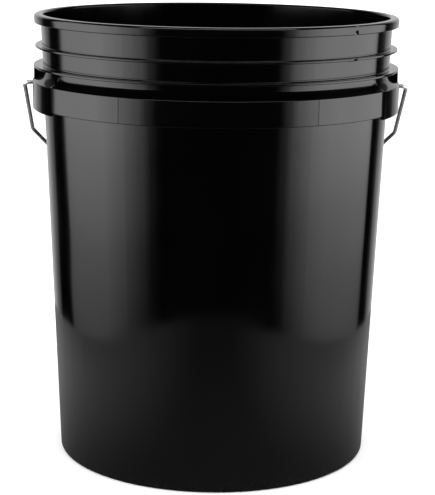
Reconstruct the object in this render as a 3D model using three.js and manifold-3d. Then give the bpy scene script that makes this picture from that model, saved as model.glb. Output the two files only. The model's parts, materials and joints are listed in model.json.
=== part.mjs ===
// Open-head utility pail with a swinging wire bail and a loose roller grip.
//
// Frame: millimetres, +Z up, origin on the pail's axis at the plane that it stands on.
// The ears that hold the bail are on +X and -X. At rest the bail hangs down at the
// back, +Y, with its grip against the wall.

import * as THREE from 'three';
import { mergeVertices } from 'three/addons/utils/BufferGeometryUtils.js';
import Module from 'manifold-3d';

const wasm = await Module();
wasm.setup();

// ---------------------------------------------------------------- driving dimensions

// Overall sizes of the moulding.
const PAIL_HEIGHT = 369.5;
const RIM_DIAMETER = 302.5;
const BASE_DIAMETER = 260.8;

// Skins of the moulding.
const WALL = 2.3;
const FLOOR = 2.8;

// Foot: a flat standing ring round a shallow recess, with a rounded outer corner.
const FOOT_RING_WIDTH = 16;
const FOOT_RECESS = 3;
const FOOT_STEP_WIDTH = 4;
const FOOT_CORNER_RADIUS = 2.5;
const INNER_CORNER_RADIUS = 5;

// Rim: a curled bead that stands proud of the neck, open underneath.
const BEAD_PROUD = 5.5;
const BEAD_HEIGHT = 7.5;
const BEAD_OUTER_RADIUS = 3.4;
const BEAD_INNER_RADIUS = 2.2;
const BEAD_GROOVE_DEPTH = 3.6;

// Thin stiffening ribs round the neck, measured down from the rim's top.
const UPPER_RIB_DROP = 25.4;
const UPPER_RIB_PROUD = 5.5;
const LOWER_RIB_DROP = 41.5;
const LOWER_RIB_PROUD = 7.5;
const RIB_THICKNESS = 1.9;

// Coved shoulder and the hollow band that hangs from it, measured down from the top.
const SHOULDER_DROP = 44.2;
const BAND_TOP_DROP = 54.7;
const BAND_BOTTOM_DROP = 74.9;
const BAND_PROUD = 7.5;

// Skin between the shoulder's low edge and the hollow, where the cove bends, and how far
// the hollow reaches up behind it. The last two are shares of the shoulder's rise.
const SHOULDER_SKIN = 1.5;
const COVE_BEND_SHARE = 0.2;
const HOLLOW_SHARE = 0.3;

// Gussets inside the hollow band.
const GUSSET_COUNT = 24;
const GUSSET_THICKNESS = 1.8;
const GUSSET_RECESS = 2.5;

// Ears: a thickened stretch of the band, and a box above it that reaches up through the
// shoulder to the lower rib and holds the wire's head.
const EAR_PLATE_PROUD = 1.4;
const EAR_PLATE_THICKNESS = 2.8;
const EAR_PLATE_HALF_ANGLE = 29.3;
const EAR_PLATE_OVERHANG = 2.4;
const EAR_BOX_HALF_WIDTH = 15;
const EAR_BOX_WALL = 2.2;

// Bail: round wire with headed ends.
const WIRE_DIAMETER = 3.4;
const WIRE_HEAD_PROUD = 1.5;
const WIRE_HEAD_THICKNESS = 2.2;
const PIVOT_DROP = 58.5;
const LEG_STANDOFF = 7.5;
const LEG_INSET = 0.8;
const LEG_LENGTH = 76;
const SHOULDER_TURN = 23;
const TIGHT_BEND_RADIUS = 5;
const SHOULDER_BEND_RADIUS = 12;

// Grip: a hollow roller on the bail's straight middle.
const GRIP_LENGTH = 92;
const GRIP_DIAMETER = 18;
const GRIP_END_DIAMETER = 16;
const GRIP_EDGE_RADIUS = 2;

// Clearances.
const HOLE_CLEARANCE = 0.5;
const HEAD_CLEARANCE = 1.2;
const POCKET_SKIN = 0.3;
const GRIP_BORE_CLEARANCE = 0.4;
const GRIP_END_CLEARANCE = 2;
const GRIP_WALL_CLEARANCE = 0.5;
const RIM_SWING_CLEARANCE = 18.8;

// Fineness of the faceted solids.
const PAIL_SIDES = 72;
const GRIP_SIDES = 32;
const WIRE_SIDES = 12;
const HOLE_SIDES = 20;
const CORNER_STEPS = 4;
const BEAD_STEPS = 6;
const COVE_STEPS = 4;
const WIRE_BEND_STEPS = 7;
const GRIP_EDGE_STEPS = 3;
const GRIP_CROWN_STEPS = 8;

// Points closer than this are one point.
const MERGE_DISTANCE = 1e-4;

// Rounds of the sum that finds the hang angle, which settles long before the last one.
const HANG_ROUNDS = 20;

// ---------------------------------------------------------------- derived dimensions

const RIM_RADIUS = RIM_DIAMETER / 2;
const BASE_RADIUS = BASE_DIAMETER / 2;
const NECK_RADIUS = RIM_RADIUS - BEAD_PROUD;

// Outer radius of the tapered wall at a height.
const wallRadius = (z) => BASE_RADIUS + (NECK_RADIUS - BASE_RADIUS) * (z / PAIL_HEIGHT);

const UPPER_RIB_TOP = PAIL_HEIGHT - UPPER_RIB_DROP;
const LOWER_RIB_TOP = PAIL_HEIGHT - LOWER_RIB_DROP;
const LOWER_RIB_RADIUS = wallRadius(LOWER_RIB_TOP) + LOWER_RIB_PROUD;
const SHOULDER_TOP = PAIL_HEIGHT - SHOULDER_DROP;
const BAND_TOP = PAIL_HEIGHT - BAND_TOP_DROP;
const BAND_BOTTOM = PAIL_HEIGHT - BAND_BOTTOM_DROP;
const BAND_RADIUS = wallRadius(BAND_TOP) + BAND_PROUD;
const BAND_INNER_RADIUS = BAND_RADIUS - WALL;

// Roof of the hollow, where it meets the wall and the band.
const SHOULDER_RISE = SHOULDER_TOP - BAND_TOP;
const HOLLOW_TOP = BAND_TOP + SHOULDER_RISE * HOLLOW_SHARE;
const HOLLOW_EDGE = BAND_TOP - SHOULDER_SKIN;

const EAR_PLATE_RADIUS = BAND_RADIUS + EAR_PLATE_PROUD;
const EAR_PLATE_BOTTOM = BAND_BOTTOM - EAR_PLATE_OVERHANG;
const POCKET_OUTER_RADIUS = EAR_PLATE_RADIUS - EAR_PLATE_THICKNESS;
const POCKET_INNER_RADIUS = wallRadius(LOWER_RIB_TOP) + POCKET_SKIN;

const PIVOT_Z = PAIL_HEIGHT - PIVOT_DROP;
const WIRE_RADIUS = WIRE_DIAMETER / 2;
const HEAD_OUTER_END = POCKET_OUTER_RADIUS - HEAD_CLEARANCE;
const HEAD_INNER_END = HEAD_OUTER_END - WIRE_HEAD_THICKNESS;
const GRIP_RADIUS = GRIP_DIAMETER / 2;

// The bail is long enough for its grip to pass over the rim.
const BAIL_REACH = Math.hypot(RIM_RADIUS, PIVOT_DROP) + GRIP_RADIUS + RIM_SWING_CLEARANCE;

// Angle between the hanging bail and straight down, with the grip just off the wall.
function hangAngle() {
  let angle = Math.PI / 4;
  for (let round = 0; round < HANG_ROUNDS; round += 1) {
    const gripZ = PIVOT_Z - BAIL_REACH * Math.cos(angle);
    const gripY = wallRadius(gripZ) + GRIP_RADIUS + GRIP_WALL_CLEARANCE;
    angle = Math.asin(gripY / BAIL_REACH);
  }
  return angle;
}

// ---------------------------------------------------------------- helpers

// Points of a round stretch in the (radius, height) plane, angles in degrees.
function arc(centreR, centreZ, radius, fromDeg, toDeg, steps) {
  const points = [];
  for (let i = 0; i <= steps; i += 1) {
    const angle = THREE.MathUtils.degToRad(fromDeg + ((toDeg - fromDeg) * i) / steps);
    points.push([centreR + radius * Math.cos(angle), centreZ + radius * Math.sin(angle)]);
  }
  return points;
}

// A profile of [radius, height] pairs turned about the Z axis.
function turned(profile, sides) {
  const points = profile.map(([r, z]) => new THREE.Vector2(r, z));
  return new THREE.LatheGeometry(points, sides).rotateX(Math.PI / 2);
}

// A closed ring with a profile that ends where it starts.
function ring(profile) {
  return turned([...profile, profile[0]], PAIL_SIDES);
}

// A rectangular ring between two radii and two heights.
function band(innerR, outerR, lowZ, highZ) {
  return ring([[innerR, lowZ], [outerR, lowZ], [outerR, highZ], [innerR, highZ]]);
}

// A three.js geometry as a manifold solid.
function toSolid(geometry) {
  const bare = new THREE.BufferGeometry();
  bare.setAttribute('position', geometry.getAttribute('position'));
  bare.setIndex(geometry.getIndex());
  const merged = mergeVertices(bare, MERGE_DISTANCE);
  const corners = merged.getIndex().array;
  const triangles = [];
  for (let i = 0; i < corners.length; i += 3) {
    const [a, b, c] = corners.slice(i, i + 3);
    if (a !== b && b !== c && c !== a) {
      triangles.push(a, b, c);
    }
  }
  return new wasm.Manifold(new wasm.Mesh({
    numProp: 3,
    vertProperties: new Float32Array(merged.getAttribute('position').array),
    triVerts: new Uint32Array(triangles),
  }));
}

// A manifold solid as a three.js geometry.
function toGeometry(solid) {
  const mesh = solid.getMesh();
  const geometry = new THREE.BufferGeometry();
  geometry.setAttribute('position', new THREE.BufferAttribute(mesh.vertProperties, 3));
  geometry.setIndex(new THREE.BufferAttribute(mesh.triVerts, 1));
  geometry.computeVertexNormals();
  return geometry;
}

// A wedge about +X, taller and wider than the pail, that picks one sector of a ring.
function wedge(halfAngleDeg) {
  const reach = RIM_DIAMETER;
  const side = reach * Math.tan(THREE.MathUtils.degToRad(halfAngleDeg));
  const shape = new THREE.Shape([
    new THREE.Vector2(0, 0),
    new THREE.Vector2(reach, -side),
    new THREE.Vector2(reach, side),
  ]);
  return new THREE.ExtrudeGeometry(shape, { depth: PAIL_HEIGHT, bevelEnabled: false });
}

// A slab about the XZ plane, on the +X side, that picks the middle of an ear.
function slab(halfWidth) {
  return new THREE.BoxGeometry(RIM_DIAMETER, 2 * halfWidth, 2 * PAIL_HEIGHT)
    .translate(RIM_DIAMETER / 2, 0, PAIL_HEIGHT);
}

// The part of a ring inside a wedge or slab, on the +X side or turned to the -X side.
function stretch(ringGeometry, window, turn) {
  return toSolid(ringGeometry).intersect(toSolid(window.clone().rotateZ(turn)));
}

// A line in the (x, drop) plane with its corners rounded, as 3-D points that hang down.
function roundedLine(corners, radii, stepsPerBend) {
  const line = corners.map(([x, drop]) => new THREE.Vector3(x, 0, -drop));
  const points = [line[0]];
  for (let i = 1; i < line.length - 1; i += 1) {
    const back = line[i - 1].clone().sub(line[i]).normalize();
    const ahead = line[i + 1].clone().sub(line[i]).normalize();
    const half = back.angleTo(ahead) / 2;
    const centre = back.clone().add(ahead).normalize()
      .multiplyScalar(radii[i] / Math.sin(half)).add(line[i]);
    const runOut = radii[i] / Math.tan(half);
    const spoke = back.clone().multiplyScalar(runOut).add(line[i]).sub(centre);
    const lastSpoke = ahead.clone().multiplyScalar(runOut).add(line[i]).sub(centre);
    const axis = new THREE.Vector3().crossVectors(spoke, lastSpoke).normalize();
    const sweep = Math.PI - 2 * half;
    for (let k = 0; k <= stepsPerBend; k += 1) {
      const arm = spoke.clone().applyAxisAngle(axis, (sweep * k) / stepsPerBend);
      points.push(arm.add(centre));
    }
  }
  points.push(line[line.length - 1]);
  return points;
}

// A curve that passes its stations at even steps, so that long straights take one step.
class StationCurve extends THREE.Curve {
  constructor(stations) {
    super();
    this.stations = stations;
  }

  getPoint(t, target = new THREE.Vector3()) {
    const place = t * (this.stations.length - 1);
    const i = Math.min(Math.floor(place), this.stations.length - 2);
    return target.lerpVectors(this.stations[i], this.stations[i + 1], place - i);
  }

  getPointAt(u, target) {
    return this.getPoint(u, target);
  }

  getTangentAt(u, target = new THREE.Vector3()) {
    const last = this.stations.length - 1;
    const i = Math.round(u * last);
    const before = this.stations[Math.max(i - 1, 0)];
    const here = this.stations[i];
    const after = this.stations[Math.min(i + 1, last)];
    target.set(0, 0, 0);
    if (i > 0) {
      target.add(here.clone().sub(before).normalize());
    }
    if (i < last) {
      target.add(after.clone().sub(here).normalize());
    }
    return target.normalize();
  }

  getSpacedPoints(divisions) {
    return this.getPoints(divisions);
  }
}

// ---------------------------------------------------------------- pail body

// The shoulder's hollow curve, from the band's top edge up to the wall.
function coveCurve() {
  const bend = BAND_TOP + SHOULDER_RISE * COVE_BEND_SHARE;
  const curve = new THREE.QuadraticBezierCurve(
    new THREE.Vector2(BAND_RADIUS, BAND_TOP),
    new THREE.Vector2(wallRadius(bend), bend),
    new THREE.Vector2(wallRadius(SHOULDER_TOP), SHOULDER_TOP),
  );
  return curve.getPoints(COVE_STEPS).map((point) => [point.x, point.y]);
}

// Half section of the moulding: underside, outside going up, rim, then down the inside.
function pailProfile() {
  const recessRadius = BASE_RADIUS - FOOT_RING_WIDTH;
  const recessStep = recessRadius - FOOT_STEP_WIDTH;
  const footCornerR = wallRadius(FOOT_CORNER_RADIUS) - FOOT_CORNER_RADIUS;
  const beadBottom = PAIL_HEIGHT - BEAD_HEIGHT;
  const grooveTop = beadBottom + BEAD_GROOVE_DEPTH;
  const curlInnerRadius = RIM_RADIUS - WALL;
  const beadShoulderZ = PAIL_HEIGHT - BEAD_OUTER_RADIUS;
  const beadInnerZ = PAIL_HEIGHT - BEAD_INNER_RADIUS;
  const mouthRadius = wallRadius(beadInnerZ) - WALL;
  const insideLow = FLOOR + INNER_CORNER_RADIUS;
  const insideLowRadius = wallRadius(insideLow) - WALL;

  const rib = (top, proud) => [
    [wallRadius(top - RIB_THICKNESS), top - RIB_THICKNESS],
    [wallRadius(top) + proud, top - RIB_THICKNESS],
    [wallRadius(top) + proud, top],
    [wallRadius(top), top],
  ];

  return [
    // Underside.
    [0, FOOT_RECESS],
    [recessStep, FOOT_RECESS],
    [recessRadius, 0],
    ...arc(footCornerR, FOOT_CORNER_RADIUS, FOOT_CORNER_RADIUS, -90, 0, CORNER_STEPS),
    // Wall, up into the hollow behind the band.
    [wallRadius(HOLLOW_TOP), HOLLOW_TOP],
    [BAND_INNER_RADIUS, HOLLOW_EDGE],
    [BAND_INNER_RADIUS, BAND_BOTTOM],
    [BAND_RADIUS, BAND_BOTTOM],
    ...coveCurve(),
    // Neck with its two ribs.
    ...rib(LOWER_RIB_TOP, LOWER_RIB_PROUD),
    ...rib(UPPER_RIB_TOP, UPPER_RIB_PROUD),
    // Curled bead, open underneath.
    [wallRadius(grooveTop), grooveTop],
    [curlInnerRadius, grooveTop],
    [curlInnerRadius, beadBottom],
    [RIM_RADIUS, beadBottom],
    ...arc(RIM_RADIUS - BEAD_OUTER_RADIUS, beadShoulderZ, BEAD_OUTER_RADIUS, 0, 90, BEAD_STEPS),
    ...arc(mouthRadius + BEAD_INNER_RADIUS, beadInnerZ, BEAD_INNER_RADIUS, 90, 180, BEAD_STEPS),
    // Inside wall, corner and floor.
    ...arc(
      insideLowRadius - INNER_CORNER_RADIUS,
      insideLow,
      INNER_CORNER_RADIUS,
      0,
      -90,
      CORNER_STEPS,
    ),
    [recessRadius, FLOOR],
    [recessStep, FLOOR + FOOT_RECESS],
    [0, FLOOR + FOOT_RECESS],
  ];
}

// One radial gusset that ties the band to the wall, at an angle about the axis.
function gusset(angle) {
  const innerR = wallRadius(HOLLOW_TOP) - WALL / 2;
  const outerR = BAND_INNER_RADIUS + WALL / 2;
  const lowZ = BAND_BOTTOM + GUSSET_RECESS;
  const outline = new THREE.Shape([
    new THREE.Vector2(innerR, lowZ),
    new THREE.Vector2(outerR, lowZ),
    new THREE.Vector2(outerR, HOLLOW_EDGE + SHOULDER_SKIN / 2),
    new THREE.Vector2(BAND_INNER_RADIUS, HOLLOW_EDGE + SHOULDER_SKIN / 2),
    new THREE.Vector2(wallRadius(HOLLOW_TOP), HOLLOW_TOP + SHOULDER_SKIN / 2),
    new THREE.Vector2(innerR, HOLLOW_TOP + SHOULDER_SKIN / 2),
  ]);
  return new THREE.ExtrudeGeometry(outline, { depth: GUSSET_THICKNESS, bevelEnabled: false })
    .translate(0, 0, -GUSSET_THICKNESS / 2)
    .rotateX(Math.PI / 2)
    .rotateZ(angle);
}

// Builds one ear round its wire hole.
function addEar(body, turn) {
  const plate = band(BAND_RADIUS - WALL / 2, EAR_PLATE_RADIUS, EAR_PLATE_BOTTOM, BAND_TOP);
  const box = band(
    wallRadius(LOWER_RIB_TOP) - WALL / 2,
    LOWER_RIB_RADIUS - POCKET_SKIN,
    HOLLOW_EDGE,
    LOWER_RIB_TOP - RIB_THICKNESS / 2,
  );
  const pocket = band(
    POCKET_INNER_RADIUS,
    POCKET_OUTER_RADIUS,
    BAND_BOTTOM,
    LOWER_RIB_TOP - RIB_THICKNESS - POCKET_SKIN,
  );
  const hole = new THREE.CylinderGeometry(
    WIRE_RADIUS + HOLE_CLEARANCE,
    WIRE_RADIUS + HOLE_CLEARANCE,
    2 * EAR_PLATE_THICKNESS,
    HOLE_SIDES,
  ).rotateZ(Math.PI / 2)
    .translate(EAR_PLATE_RADIUS - EAR_PLATE_THICKNESS / 2, 0, PIVOT_Z)
    .rotateZ(turn);

  return body
    .add(stretch(plate, wedge(EAR_PLATE_HALF_ANGLE), turn))
    .add(stretch(box, slab(EAR_BOX_HALF_WIDTH), turn))
    .subtract(stretch(pocket, slab(EAR_BOX_HALF_WIDTH - EAR_BOX_WALL), turn))
    .subtract(toSolid(hole));
}

function pailBody() {
  let body = toSolid(turned(pailProfile(), PAIL_SIDES));
  for (let i = 0; i < GUSSET_COUNT; i += 1) {
    const angle = ((i + 0.5) * 2 * Math.PI) / GUSSET_COUNT;
    body = body.add(toSolid(gusset(angle)));
  }
  body = addEar(body, 0);
  body = addEar(body, Math.PI);
  return toGeometry(body);
}

// ---------------------------------------------------------------- bail and grip

// The bail's centre line: stub, leg, sloping run and straight middle, left to right.
function bailLine() {
  const slope = THREE.MathUtils.degToRad(SHOULDER_TURN);
  const legX = EAR_PLATE_RADIUS + LEG_STANDOFF;
  const shoulderX = legX - LEG_INSET;
  const bowX = shoulderX - (BAIL_REACH - LEG_LENGTH) * Math.tan(slope);
  const seatX = GRIP_LENGTH / 2 + GRIP_END_CLEARANCE;
  const bowRadius = (bowX - seatX) / Math.tan(Math.PI / 4 - slope / 2);
  const half = [
    [HEAD_OUTER_END - WIRE_HEAD_THICKNESS / 2, 0, 0],
    [legX, 0, TIGHT_BEND_RADIUS],
    [shoulderX, LEG_LENGTH, SHOULDER_BEND_RADIUS],
    [bowX, BAIL_REACH, bowRadius],
  ];
  const other = half.map(([x, drop, radius]) => [-x, drop, radius]).reverse();
  const corners = [...half, ...other];
  return roundedLine(
    corners.map(([x, drop]) => [x, drop]),
    corners.map(([, , radius]) => radius),
    WIRE_BEND_STEPS,
  );
}

function bailWire() {
  const stations = bailLine();
  const section = new THREE.Shape();
  section.absarc(0, 0, WIRE_RADIUS, 0, 2 * Math.PI);
  const wire = new THREE.ExtrudeGeometry(section, {
    steps: stations.length - 1,
    curveSegments: WIRE_SIDES / 2,
    extrudePath: new StationCurve(stations),
  });
  const head = new THREE.CylinderGeometry(
    WIRE_RADIUS + WIRE_HEAD_PROUD,
    WIRE_RADIUS + WIRE_HEAD_PROUD,
    WIRE_HEAD_THICKNESS,
    HOLE_SIDES,
  ).rotateZ(Math.PI / 2).translate((HEAD_OUTER_END + HEAD_INNER_END) / 2, 0, 0);
  const otherHead = head.clone().rotateZ(Math.PI);
  return toGeometry(toSolid(wire).add(toSolid(head)).add(toSolid(otherHead)));
}

// A barrelled tube along X, a loose fit on the wire.
function bailGrip() {
  const half = GRIP_LENGTH / 2;
  const bore = WIRE_RADIUS + GRIP_BORE_CLEARANCE;
  const endRadius = GRIP_END_DIAMETER / 2;
  const edgeR = endRadius - GRIP_EDGE_RADIUS;
  const edgeX = half - GRIP_EDGE_RADIUS;
  const crown = [];
  for (let i = 1; i < GRIP_CROWN_STEPS; i += 1) {
    const along = -1 + (2 * i) / GRIP_CROWN_STEPS;
    crown.push([endRadius + (GRIP_RADIUS - endRadius) * (1 - along * along), along * edgeX]);
  }
  const profile = [
    [bore, -half],
    ...arc(edgeR, -edgeX, GRIP_EDGE_RADIUS, -90, 0, GRIP_EDGE_STEPS),
    ...crown,
    ...arc(edgeR, edgeX, GRIP_EDGE_RADIUS, 0, 90, GRIP_EDGE_STEPS),
    [bore, half],
    [bore, -half],
  ];
  return toGeometry(toSolid(turned(profile, GRIP_SIDES).rotateY(Math.PI / 2)));
}

// ---------------------------------------------------------------- assembly

function named(name, geometry, color, roughness, metalness) {
  const material = new THREE.MeshStandardMaterial({ color, roughness, metalness });
  const mesh = new THREE.Mesh(geometry, material);
  mesh.name = name;
  return mesh;
}

const pail = new THREE.Group();
pail.add(named('pail_body', pailBody(), 0x0c0c0c, 0.22, 0));

// Everything that swings hangs from the line through the two ear holes.
const bail = new THREE.Group();
bail.position.z = PIVOT_Z;
bail.rotation.x = hangAngle();
bail.add(named('bail_wire', bailWire(), 0xb4b6b8, 0.3, 1));
const grip = named('bail_grip', bailGrip(), 0x111111, 0.45, 0);
grip.position.z = -BAIL_REACH;
bail.add(grip);
pail.add(bail);

export default pail;
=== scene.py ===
"""Open-head utility pail with a swinging wire bail: fine meshes, finishes and a studio.

Everything is in metres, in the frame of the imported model: +Z up, origin on the pail's
axis at the plane that it stands on, ears on +X and -X, the bail hanging at the back, +Y.
"""

import json
import math
from bisect import bisect_left

import bmesh
import bpy
from mathutils import Matrix, Vector


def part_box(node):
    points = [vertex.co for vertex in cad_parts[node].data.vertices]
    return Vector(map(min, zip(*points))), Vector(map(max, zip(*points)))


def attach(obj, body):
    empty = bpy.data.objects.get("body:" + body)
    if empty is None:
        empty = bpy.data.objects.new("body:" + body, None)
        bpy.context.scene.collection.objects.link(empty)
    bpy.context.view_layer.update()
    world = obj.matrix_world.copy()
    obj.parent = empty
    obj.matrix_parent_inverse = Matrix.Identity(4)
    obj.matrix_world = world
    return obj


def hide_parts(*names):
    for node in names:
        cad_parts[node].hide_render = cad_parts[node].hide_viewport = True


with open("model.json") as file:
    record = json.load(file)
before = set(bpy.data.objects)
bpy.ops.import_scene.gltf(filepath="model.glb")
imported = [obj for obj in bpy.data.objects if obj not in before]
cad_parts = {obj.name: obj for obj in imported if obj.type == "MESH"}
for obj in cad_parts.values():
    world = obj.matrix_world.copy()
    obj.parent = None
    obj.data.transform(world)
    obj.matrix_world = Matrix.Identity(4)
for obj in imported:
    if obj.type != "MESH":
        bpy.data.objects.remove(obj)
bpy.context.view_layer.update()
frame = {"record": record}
_, PAIL_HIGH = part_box("pail_body")
GRIP_LOW, GRIP_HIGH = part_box("bail_grip")

bl_info = {
    "name": "Utility Pail",
    "version": (1, 0, 0),
    "blender": (4, 5, 0),
    "location": "View3D > Sidebar > Pail",
    "description": "Builds an open-head pail, its wire bail and roller grip, and a studio",
    "category": "Add Mesh",
}

MM = 0.001

# Joint places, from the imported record.
JOINTS = {joint["name"]: joint for joint in frame["record"]["behaviour"]["joints"]}
PIVOT = Vector(JOINTS["bail_swing"]["pos_m"])
GRIP_CENTRE = Vector(JOINTS["grip_spin"]["pos_m"])
BAIL_REACH = (GRIP_CENTRE - PIVOT).length
HANG_ANGLE = math.atan2(GRIP_CENTRE.y - PIVOT.y, PIVOT.z - GRIP_CENTRE.z)


# ------------------------------------------------------------------ settings

class PailSizes(bpy.types.PropertyGroup):
    """Sizes of the moulded pail"""

    rim_diameter: bpy.props.FloatProperty(
        name="Rim diameter", description="Outside of the rim bead",
        default=0.3025, min=0.1, unit="LENGTH")
    base_diameter: bpy.props.FloatProperty(
        name="Base diameter", description="Outside of the wall, carried down to the floor",
        default=0.2608, min=0.1, unit="LENGTH")
    wall: bpy.props.FloatProperty(
        name="Wall", description="Thickness of the side wall",
        default=0.0023, min=0.001, unit="LENGTH")
    floor: bpy.props.FloatProperty(
        name="Floor", description="Thickness of the bottom panel",
        default=0.0028, min=0.001, unit="LENGTH")
    foot_recess: bpy.props.FloatProperty(
        name="Foot recess", description="Height of the bottom panel above the standing ring",
        default=0.003, min=0.0, unit="LENGTH")
    rib_thickness: bpy.props.FloatProperty(
        name="Rib thickness", description="Thickness of the two ribs round the neck",
        default=0.0019, min=0.001, unit="LENGTH")
    columns: bpy.props.IntProperty(
        name="Columns", description="Even divisions round the pail",
        default=200, min=48)


class BailSizes(bpy.types.PropertyGroup):
    """Sizes of the wire bail and its grip"""

    wire_diameter: bpy.props.FloatProperty(
        name="Wire diameter", description="Thickness of the round wire",
        default=0.0034, min=0.001, unit="LENGTH")
    leg_inset: bpy.props.FloatProperty(
        name="Leg inset", description="How far each leg leans in towards its shoulder bend",
        default=0.0008, min=0.0, unit="LENGTH")
    leg_length: bpy.props.FloatProperty(
        name="Leg length", description="Distance from the ear hole's line to the shoulder bend",
        default=0.076, min=0.02, unit="LENGTH")
    shoulder_turn: bpy.props.FloatProperty(
        name="Shoulder turn", description="Angle of the sloping run below the shoulder bend",
        default=math.radians(23), subtype="ANGLE", unit="ROTATION")
    grip_flutes: bpy.props.IntProperty(
        name="Grip flutes", description="Grooves along the grip", default=14, min=0)


class PailFinishes(bpy.types.PropertyGroup):
    """Colours and gloss of the three materials"""

    pail_color: bpy.props.FloatVectorProperty(
        name="Pail colour", description="Colour of the moulded pail",
        default=(0.0004, 0.0004, 0.0005), min=0.0, max=1.0, subtype="COLOR")
    pail_roughness: bpy.props.FloatProperty(
        name="Pail roughness", description="Roughness of the pail's skin where it is clean",
        default=0.11, min=0.0, max=1.0, subtype="FACTOR")
    wire_color: bpy.props.FloatVectorProperty(
        name="Wire colour", description="Colour of the galvanised wire",
        default=(0.62, 0.63, 0.64), min=0.0, max=1.0, subtype="COLOR")
    wire_roughness: bpy.props.FloatProperty(
        name="Wire roughness", description="Roughness of the galvanised wire",
        default=0.3, min=0.0, max=1.0, subtype="FACTOR")
    grip_color: bpy.props.FloatVectorProperty(
        name="Grip colour", description="Colour of the roller grip",
        default=(0.008, 0.008, 0.0085), min=0.0, max=1.0, subtype="COLOR")


class StudioSettings(bpy.types.PropertyGroup):
    """Camera, floor and lights"""

    camera_turn: bpy.props.FloatProperty(
        name="Camera direction", description="Angle round the pail, from the front towards -X",
        default=math.radians(1.0), subtype="ANGLE", unit="ROTATION")
    camera_distance: bpy.props.FloatProperty(
        name="Camera distance", description="Distance in front of the pail's axis",
        default=1.320, min=0.5, unit="LENGTH")
    camera_height: bpy.props.FloatProperty(
        name="Camera height", description="Height above the floor",
        default=0.4623, unit="LENGTH")
    camera_tilt: bpy.props.FloatProperty(
        name="Camera tilt", description="Angle that the camera looks down",
        default=math.radians(11.09), subtype="ANGLE", unit="ROTATION")
    camera_pan: bpy.props.FloatProperty(
        name="Camera pan", description="Angle that the camera turns to its right",
        default=math.radians(0.12), subtype="ANGLE", unit="ROTATION")
    camera_roll: bpy.props.FloatProperty(
        name="Camera roll", description="Angle that the camera leans to its left",
        default=math.radians(0.771), subtype="ANGLE", unit="ROTATION")
    lens: bpy.props.FloatProperty(
        name="Focal length", description="Lens on a 36 mm sensor, in millimetres",
        default=115.05, min=10.0)
    lens_shift: bpy.props.FloatProperty(
        name="Vertical shift", description="Rise or fall of the lens, as a share of the long side",
        default=-0.0758)
    softbox_radiance: bpy.props.FloatProperty(
        name="Softbox brightness", description="Brightness of each side softbox",
        default=4.3, min=0.0)
    top_power: bpy.props.FloatProperty(
        name="Top light power", description="Power of the overhead strip, in watts",
        default=6.0, min=0.0)


# ------------------------------------------------------------------ shared helpers

def corner(r, z, fillet=0.0, steps=0):
    """A section's corner: radius from the axis, height, fillet and steps in the fillet."""
    return (r, z, fillet, steps)


def filleted(corners):
    """Turns a list of corners into section points, each fillet a short smooth curve."""
    points = []
    last = len(corners) - 1
    for i, (r, z, fillet, steps) in enumerate(corners):
        here = Vector((r, z))
        if steps == 0 or i in (0, last):
            points.append(here)
            continue
        to_back = Vector(corners[i - 1][:2]) - here
        to_next = Vector(corners[i + 1][:2]) - here
        turn = math.pi - to_back.angle(to_next)
        room = 0.45 * min(to_back.length, to_next.length)
        run = min(max(fillet * math.tan(turn / 2), 0.05 * MM), room)
        start = here + to_back.normalized() * run
        end = here + to_next.normalized() * run
        for k in range(steps + 1):
            s = k / steps
            points.append((1 - s) ** 2 * start + 2 * s * (1 - s) * here + s * s * end)
    return points


def smooth(x):
    """A smooth step from 0 to 1."""
    x = min(max(x, 0.0), 1.0)
    return x * x * (3 - 2 * x)


def mix(a, b, share):
    """A value between a and b: a at share 0 and b at share 1."""
    return a + (b - a) * share


def inside(offset, half_angle):
    """1 within half_angle of the middle and 0 outside it, with a narrow rounded edge."""
    return smooth(0.5 + (half_angle - abs(offset)) / (2 * EDGE_SPREAD))


def wrapped(angle):
    """An angle in degrees brought to -180..180."""
    return (angle + 180) % 360 - 180


def make_object(name, vertices, faces):
    """A linked object with its faces turned outwards."""
    mesh = bpy.data.meshes.new(name)
    mesh.from_pydata([tuple(v) for v in vertices], [], faces)
    work = bmesh.new()
    work.from_mesh(mesh)
    bmesh.ops.recalc_face_normals(work, faces=work.faces)
    work.to_mesh(mesh)
    work.free()
    piece = bpy.data.objects.new(name, mesh)
    bpy.context.scene.collection.objects.link(piece)
    return piece


def finish_mesh(piece, sharp_degrees=38):
    """Smooths the faces up to a crease angle and keeps wide faces flat beside fillets."""
    mesh = piece.data
    mesh.shade_smooth()
    mesh.set_sharp_from_angle(angle=math.radians(sharp_degrees))
    weighted = piece.modifiers.new("weighted_normals", "WEIGHTED_NORMAL")
    weighted.keep_sharp = True
    weighted.weight = 60
    apply_modifiers(piece)


def apply_modifiers(piece):
    """Replaces the piece's mesh by its evaluated one and drops the modifiers."""
    depsgraph = bpy.context.evaluated_depsgraph_get()
    solid = bpy.data.meshes.new_from_object(
        piece.evaluated_get(depsgraph), preserve_all_data_layers=True, depsgraph=depsgraph)
    old = piece.data
    piece.modifiers.clear()
    piece.data = solid
    bpy.data.meshes.remove(old)
    solid.name = piece.name


def stitch(rows, columns, closed_rows):
    """Quads between neighbouring section points and neighbouring columns, all round."""
    faces = []
    spans = rows if closed_rows else rows - 1
    for j in range(columns):
        a, b = j * rows, ((j + 1) % columns) * rows
        for i in range(spans):
            k = (i + 1) % rows
            faces.append((a + i, b + i, b + k, a + k))
    return faces


# ------------------------------------------------------------------ material helpers

def new_material(name):
    """A material with an empty node tree."""
    material = bpy.data.materials.new(name)
    material.use_nodes = True
    material.node_tree.nodes.clear()
    return material


# The middle range of a noise, which is spread over the whole of a colour or a roughness.
NOISE_LOW = 0.3
NOISE_HIGH = 0.7


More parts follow.
